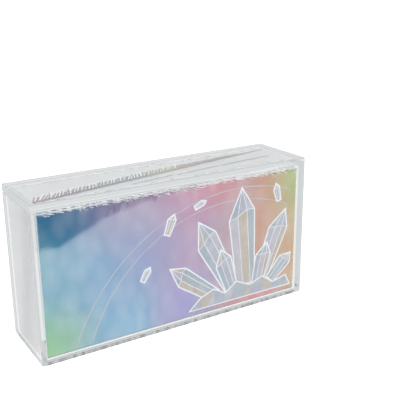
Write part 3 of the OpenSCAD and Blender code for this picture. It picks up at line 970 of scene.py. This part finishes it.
def makeWeld():
    length, wide, thick = seamShape["length"], seamShape["wide"], seamShape["thick"]
    rings, n = [], 180
    for i in range(n + 1):
        x = length * i / n
        sway = 0.25 * noise.noise((x * 0.12, 0.0, 2.0))
        narrow = 1.0 - 0.65 * min(max((x - seamShape["thinFrom"]) / 24, 0.0), 1.0)  # past the pleats it thins to a line
        half = wide / 2 * narrow
        lift = 0.13 + 0.05 * noise.noise((x * 0.5, 3.0, 0.0))
        ring = []
        for k in range(12):
            a = 2 * math.pi * k / 12
            ripple = 0.05 * noise.noise((x * 1.1, k * 0.9, 5.0))
            ring.append((x, half + sway + half * math.cos(a), lift + (thick / 2 + ripple) * math.sin(a)))
        rings.append(ring)
    verts, faces = bridge(rings)
    piece = makePiece("filmSeam", verts, faces, [weldedFilm], smooth=True)
    piece.data.transform(seamMatrix())
    return piece


finishPiece(makeWeld(), "card_box", "clear_film", "film_seam")

# loose folds beside the seam, in grey film as painted shade: place of the left end, turn, length, width
folds = {
    "filmFoldRight": ((31.0, -3.7), 4.4, 34.0, 0.9),
    "filmFoldMiddle": ((4.0, -6.8), 6.0, 27.0, 0.6),
    "filmFoldLeft": ((-22.0, -9.6), 8.0, 24.0, 0.5),
}


def makeFold(name, place, turn, length, wide):
    rings, n = [], 60
    for i in range(n + 1):
        x = length * i / n
        body = 0.25 + 0.75 * math.sin(math.pi * i / n) ** 0.5
        swell = wide / 2 * body * (1.0 + 0.7 * noise.noise((x * 0.5, place[0], 1.0)))
        sway = 0.35 * noise.noise((x * 0.18, place[1], 3.0))
        angles = [math.pi * k / 4 for k in range(8)]
        rings.append([(x, sway + swell * math.cos(a), 0.1 + 0.1 * math.sin(a)) for a in angles])
    verts, faces = bridge(rings)
    piece = makePiece(name, verts, faces, [shadedFilm], smooth=True)
    spot = shiftBy(place[0], place[1], filmShape["high"] + 0.05)
    piece.data.transform(spot @ Matrix.Rotation(math.radians(turn), 4, "Z"))
    return piece


for name, values in folds.items():
    finishPiece(makeFold(name, *values), "card_box", "clear_film")

# film drawn up in small folds between the weld and the ends of the pleats, coloured with a paler copy of the weld's
# painted reflection
gather = {"from": 4.0, "to": 126.0, "front": 2.0, "back": 4.6, "thick": 0.1, "fold": 0.16, "pitch": 2.5}


def makeGather():
    start, length, fold = gather["from"], gather["to"] - gather["from"], gather["fold"]
    rings, n = [], 240
    for i in range(n + 1):
        t = i / n
        x = start + length * t
        reach = min(1.0, 0.35 + 3.5 * t, 0.2 + 2.2 * (1 - t)) * (1.0 + 0.15 * noise.noise((x * 0.9, 1.0, 6.0)))
        reach *= gather["back"]
        low, high = [], []
        for k in range(6):
            s = k / 5
            y = gather["front"] + s * reach
            wave = math.sin(2 * math.pi * (x - 0.75 * s * reach) / gather["pitch"])
            lift = 0.08 + fold * (0.5 + 0.5 * wave) * (1 - 0.6 * s)
            low.append((x, y, lift))
            high.append((x, y, lift + gather["thick"]))
        rings.append(low + high[::-1])
    verts, faces = bridge(rings)
    piece = makePiece("filmGather", verts, faces, [drawnFilm], smooth=True)
    piece.data.transform(seamMatrix())
    return piece


finishPiece(makeGather(), "card_box", "clear_film")
print("seam made")

# the packs: crimped foil pillows
packs = {
    "teeth": 26, "tooth": 1.2, "crimp": 9.0, "crimpThick": 0.5, "flat": 90.0,
    "ridge": 0.09, "crumple": 0.5, "round": 2.2, "fin": 10.0, "finThick": 0.12,
}


def makePack(name, seed):
    v = packs
    node = nodes["pack_" + seed]
    corners = [node.matrix_world @ Vector(c) / mm for c in node.bound_box]
    low = [min(c[i] for c in corners) for i in range(3)]
    high = [max(c[i] for c in corners) for i in range(3)]
    halfX, halfY, halfZ = ((high[i] - low[i]) / 2 for i in range(3))
    midX, midY, midZ = ((high[i] + low[i]) / 2 for i in range(3))
    rows, shift = v["teeth"] * 4, 7.3 * int(seed)
    root = halfX - v["crimp"]
    right = [halfX, halfX - v["tooth"] - 0.4, halfX - v["crimp"] / 2, root]
    right += [root + (v["flat"] / 2 - root) * i / 5 for i in range(1, 6)]
    right += [v["flat"] / 2 * (1 - i / 4) for i in range(1, 4)]
    xs = [-x for x in right] + [0.0] + right[::-1]
    verts, front, back = [], [], []
    for i, x in enumerate(xs):
        s = min(max((abs(x) - v["flat"] / 2) / (root - v["flat"] / 2), 0.0), 1.0)
        full = halfY + (v["crimpThick"] / 2 - halfY) * (1 - math.cos(math.pi * s)) / 2
        frontColumn, backColumn = [], []
        for k in range(rows + 1):
            z = halfZ * (2 * k / rows - 1)
            at = x
            if i in (0, len(xs) - 1):  # saw teeth
                at -= math.copysign(v["tooth"] * (1 - abs(k % 4 - 2) / 2), x)
            rim = min(max((abs(z) - halfZ + v["round"]) / v["round"], 0.0), 1.0)
            half = full * math.sqrt(1 - rim**2)
            inward = v["crumple"] * max(noise.noise((x * 0.09, z * 0.16, shift)), 0.0) * math.sin(math.pi * s)
            half = max(half - inward * (1 - rim), min(half, v["crimpThick"] / 2))
            wave = v["ridge"] * (1 - 2 * (k % 2)) * (1 - rim) if s == 1.0 else 0.0
            fin = 0.0 if abs(z) < v["fin"] / 2 or s == 1.0 else v["finThick"] * (1 - rim)
            frontColumn.append(len(verts))
            verts.append((midX + at, midY - half + wave, midZ + z))
            if 0 < k < rows:
                backColumn.append(len(verts))
                verts.append((midX + at, midY + max(half - fin, 0.05) + wave, midZ + z))
            else:  # the long edges are folded, so both sides meet
                backColumn.append(frontColumn[-1])
        front.append(frontColumn)
        back.append(backColumn)
    faces = []
    for i in range(len(xs) - 1):
        for k in range(rows):
            faces.append((front[i][k], front[i + 1][k], front[i + 1][k + 1], front[i][k + 1]))
            faces.append((back[i][k + 1], back[i + 1][k + 1], back[i + 1][k], back[i][k]))
    for k in range(rows):
        left = (front[0][k], front[0][k + 1], back[0][k + 1], back[0][k])
        right = (back[-1][k], back[-1][k + 1], front[-1][k + 1], front[-1][k])
        faces += [tuple(dict.fromkeys(face)) for face in (left, right)]
    return makePiece(name, verts, faces, [packFoil], smooth=True)


for name in sorted(n for n in nodes if n.startswith("pack_")):
    number = name.split("_")[1]
    finishPiece(makePack("foilPack" + number, number), "card_box", "pack_foil", name)
print("packs made")

# stage, world and lamps: glass and foil see plain levels of white, set apart from what lights the object
stage = {
    "floor": linear(0.88, 0.88, 0.88), "low": -0.06, "half": 9000,  # mm
    "lift": 0.30, "near": 0.5, "far": 1.0,  # the paper runs out to plain white
    "mirrored": 1.4, "behind": 0.95, "through": 0.84, "world": 0.72, "seen": 0.80,
}
floorMaterial, tree, out = newMaterial("floorPaper")
path = put(tree, "ShaderNodeLightPath").outputs
spot = objectPlace(tree)
level = mapRange(tree, vectorCalc(tree, "LENGTH", spot), 0.25, 1.0, stage["near"], stage["far"])
paper = put(tree, "ShaderNodeBsdfPrincipled", {
    "Base Color": stage["floor"], "Roughness": 0.9, "Specular IOR Level": 0.1, "Emission Color": (1, 1, 1, 1),
    "Emission Strength": mixValue(tree, path["Is Camera Ray"], stage["lift"], level),
})
once = calc(tree, "COMPARE", path["Glossy Depth"], 1.0, 0.5)  # a single mirroring
mirrored = mapRange(tree, axis(tree, spot, "Y"), -0.02, 0.0, stage["mirrored"], stage["behind"])
plain = put(tree, "ShaderNodeEmission", {"Strength": mixValue(tree, once, stage["through"], mirrored)})
seen = calc(tree, "MAXIMUM", path["Is Glossy Ray"], path["Is Transmission Ray"])
tree.links.new(mixShader(tree, seen, paper, plain).outputs[0], out.inputs["Surface"])
corners = [(x * stage["half"], y * stage["half"], stage["low"]) for x, y in ((-1, -1), (1, -1), (1, 1), (-1, 1))]
makePiece("floor", corners, [(0, 1, 2, 3)], [floorMaterial])

# a dark card lies in front of the case, out of view, and dulls what the front panel mirrors
card = {
    "color": (0.015, 0.015, 0.015, 1), "high": 1,
    "edge": [(320, -257), (96, -216), (39, -191), (-16, -150), (-30, -153), (-44, -156), (-44, -340), (320, -340)],
}
cardMaterial, tree, out = newMaterial("darkCard")
dull = put(tree, "ShaderNodeBsdfPrincipled", {"Base Color": card["color"], "Roughness": 0.9, "Specular IOR Level": 0.0})
once = calc(tree, "COMPARE", put(tree, "ShaderNodeLightPath").outputs["Glossy Depth"], 1.0, 0.5)
plain = put(tree, "ShaderNodeEmission", {"Strength": stage["through"]})  # through the glass it looks like the floor
tree.links.new(mixShader(tree, once, plain, dull).outputs[0], out.inputs["Surface"])
corners = [(x, y, card["high"]) for x, y in card["edge"]]
darkCard = makePiece("darkCard", corners, [tuple(range(len(corners)))], [cardMaterial])
darkCard.visible_camera = darkCard.visible_diffuse = darkCard.visible_shadow = False

world = bpy.data.worlds.new("studio")
bpy.context.scene.world = world
world.use_nodes = True
tree = world.node_tree
tree.nodes.clear()
path = put(tree, "ShaderNodeLightPath").outputs
mirrored = calc(tree, "MAXIMUM", path["Is Glossy Ray"], path["Is Transmission Ray"])
level = mixValue(tree, path["Is Camera Ray"], mixValue(tree, mirrored, stage["world"], stage["seen"]), 1.0)
sky = put(tree, "ShaderNodeBackground", {"Color": (1, 1, 1, 1), "Strength": level})
tree.links.new(sky.outputs[0], put(tree, "ShaderNodeOutputWorld").inputs["Surface"])

lamps = {  # place in m, size in m, watts
    "keyLamp": ((0.2, -1.3, 1.0), 0.9, 5.0),
    "topLamp": ((-0.35, 0.0, 0.7), 0.6, 3.4),
}
for name, (place, size, watts) in lamps.items():
    data = bpy.data.lights.new(name, "AREA")
    data.shape = "SQUARE"
    data.size = size
    data.energy = watts
    lamp = bpy.data.objects.new(name, data)
    lamp.location = place
    lamp.rotation_euler = (Vector((0, 0, 0.04)) - Vector(place)).to_track_quat("-Z", "Y").to_euler()
    lamp.visible_glossy = lamp.visible_transmission = False
    bpy.context.scene.collection.objects.link(lamp)
print("stage lit")

bpy.context.view_layer.update()
